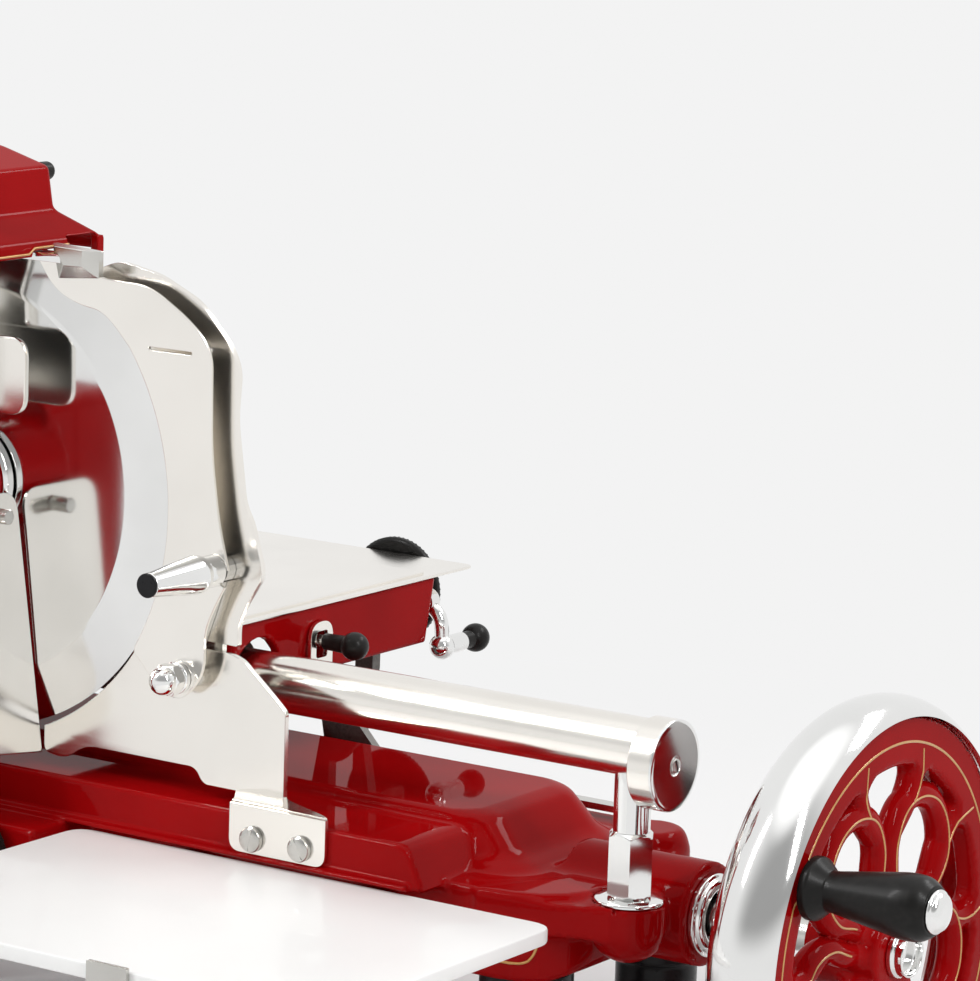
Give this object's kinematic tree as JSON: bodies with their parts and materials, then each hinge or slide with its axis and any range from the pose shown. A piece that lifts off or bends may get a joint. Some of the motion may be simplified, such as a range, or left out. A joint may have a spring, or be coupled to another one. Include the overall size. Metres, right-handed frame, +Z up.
{
  "type": "hand crank meat slicer",
  "caption": "Hand-cranked flywheel meat slicer: round blade with guard, sliding carriage on a round rod, receiving tray, red enamel and polished metal.",
  "frame": {"origin": "under the middle of the bounding box, on the surface that the legs stand on", "axes": "+X along the slide rod towards the flywheel, +Y away from the operator, +Z up"},
  "size_m": [0.8392, 0.5274, 0.565],
  "materials": {
    "red_enamel": "gloss",
    "chrome": "polished",
    "nickel": "polished",
    "blade_steel": "polished",
    "steel": "satin",
    "white_enamel": "gloss",
    "black_gloss": "gloss",
    "black_paint": "satin",
    "foot_rubber": "matte",
    "cast_iron": "satin",
    "gold_line": "satin",
    "sharpening_stone": "matte"
  },
  "bodies": {
    "base": {"base_casting": "red_enamel", "bottom_cover": "black_paint", "leg_front_left": "black_paint", "leg_front_right": "black_paint", "leg_rear_left": "black_paint", "leg_rear_right": "black_paint", "bearing_ring": "chrome", "shaft_bush": "steel", "front_rod": "chrome", "rod_cap_right": "chrome", "rod_cap_left": "chrome", "rod_post_right": "chrome", "rod_post_left": "chrome", "rear_rail": "steel", "bracket_plate": "nickel", "bracket_screw_1": "steel", "bracket_screw_2": "steel", "gauge_plate": "nickel", "gauge_strap": "steel", "guard_studs": "steel", "acorn_nut": "chrome", "blade_housing": "red_enamel", "housing_cover": "red_enamel", "hub_ring": "chrome", "deflector": "nickel", "deflector_screw": "steel", "drive_chain": "steel", "sharpener_carrier": "chrome", "tray_support": "steel"},
    "wheel": {"flywheel": "red_enamel", "flywheel_rim": "chrome", "hub_cap": "chrome", "flywheel_shaft": "steel", "handle_spindle": "steel", "grip_end_cap": "chrome"},
    "grip": {"handle_grip": "black_gloss"},
    "cross": {"cross_shaft": "steel", "drive_sprocket": "steel"},
    "crank": {"crank_gear": "cast_iron"},
    "cutter": {"blade": "blade_steel", "blade_spindle": "steel"},
    "carriage": {"carriage_body": "red_enamel", "rod_bearing": "cast_iron", "rear_foot": "cast_iron", "lever_plate": "nickel"},
    "rocker": {"rocker_arm": "cast_iron"},
    "roller": {"rear_roller": "steel"},
    "table": {"meat_table": "nickel", "press_post": "chrome"},
    "feed": {"feed_screw": "steel", "feed_handwheel": "black_gloss"},
    "press": {"press_arm": "chrome"},
    "release": {"release_lever": "black_gloss"},
    "lock": {"feed_lock_lever": "chrome"},
    "guard": {"guard_plate": "nickel"},
    "knob": {"guard_knob": "chrome"},
    "dial": {"thickness_dial": "black_gloss"},
    "tray": {"receiving_tray": "white_enamel"},
    "hood": {"sharpener_hood": "red_enamel"},
    "stone": {"stone_pusher": "black_gloss"}
  },
  "joints": [
    {"name": "flywheel_spin", "type": "hinge", "parent": "base", "child": "wheel", "pos_m": [-0.24465, 0.07565, 0.16], "axis": [1, 0, 0], "continuous": true},
    {"name": "grip_spin", "type": "hinge", "parent": "wheel", "child": "grip", "pos_m": [0.35535, -0.01913, 0.21583], "axis": [1, 0, 0], "continuous": true},
    {"name": "cross_spin", "type": "hinge", "parent": "base", "child": "cross", "pos_m": [-0.28965, -0.02035, 0.16], "axis": [0, 1, 0], "continuous": true},
    {"name": "crank_spin", "type": "hinge", "parent": "base", "child": "crank", "pos_m": [0.00235, 0.09765, 0.16], "axis": [0, 1, 0], "continuous": true},
    {"name": "blade_spin", "type": "hinge", "parent": "base", "child": "cutter", "pos_m": [-0.24465, -0.02035, 0.366], "axis": [0, 1, 0], "continuous": true},
    {"name": "carriage_slide", "type": "slide", "parent": "base", "child": "carriage", "axis": [1, 0, 0], "range_m": [0, 0.194]},
    {"name": "rocker_swing", "type": "hinge", "parent": "base", "child": "rocker", "pos_m": [0.00235, 0.15065, 0.111], "axis": [0, 1, 0], "range_deg": [0, 85.6]},
    {"name": "roller_spin", "type": "hinge", "parent": "carriage", "child": "roller", "pos_m": [-0.09465, 0.16765, 0.192], "axis": [0, 1, 0], "continuous": true},
    {"name": "table_feed", "type": "slide", "parent": "carriage", "child": "table", "axis": [0, 1, 0], "range_m": [0, 0.115]},
    {"name": "feed_screw_spin", "type": "hinge", "parent": "table", "child": "feed", "pos_m": [-0.12465, 0.17965, 0.275], "axis": [0, 1, 0], "continuous": true},
    {"name": "press_lift", "type": "slide", "parent": "table", "child": "press", "axis": [0, 0, 1], "range_m": [-0.06, 0.024]},
    {"name": "release_turn", "type": "hinge", "parent": "carriage", "child": "release", "pos_m": [-0.07165, 0.08265, 0.277], "axis": [0, 1, 0], "range_deg": [-5, 18]},
    {"name": "lock_turn", "type": "hinge", "parent": "carriage", "child": "lock", "pos_m": [-0.07265, 0.20965, 0.28], "axis": [0, 1, 0], "range_deg": [-35, 40]},
    {"name": "guard_swing", "type": "hinge", "parent": "base", "child": "guard", "pos_m": [-0.07665, -0.03235, 0.271], "axis": [0, -1, 0], "range_deg": [0, 12]},
    {"name": "knob_turn", "type": "hinge", "parent": "base", "child": "knob", "pos_m": [-0.05265, -0.06035, 0.337], "axis": [0, -1, 0], "continuous": true},
    {"name": "dial_turn", "type": "hinge", "parent": "base", "child": "dial", "pos_m": [-0.19465, -0.08035, 0.154], "axis": [0, -1, 0], "range_deg": [0, 270]},
    {"name": "tray_slide", "type": "slide", "parent": "base", "child": "tray", "axis": [1, 0, 0], "range_m": [0, 0.08]},
    {"name": "hood_lift", "type": "slide", "parent": "base", "child": "hood", "axis": [0, 0, 1], "range_m": [0, 0.06]},
    {"name": "stone_push", "type": "slide", "parent": "hood", "child": "stone", "axis": [0, -1, 0], "range_m": [0, 0.003], "stiffness_N_per_m": 400, "springref_m": -0.001}
  ],
  "couplings": [
    {"joint": "cross_spin", "follows": "flywheel_spin", "ratio": 1},
    {"joint": "crank_spin", "follows": "flywheel_spin", "ratio": -0.5},
    {"joint": "blade_spin", "follows": "flywheel_spin", "ratio": 2.5},
    {"joint": "rocker_swing", "follows": "carriage_slide", "rad_per_m": 7.6888},
    {"joint": "roller_spin", "follows": "carriage_slide", "rad_per_m": 175.44},
    {"joint": "feed_screw_spin", "follows": "table_feed", "rad_per_m": 523.6}
  ]
}
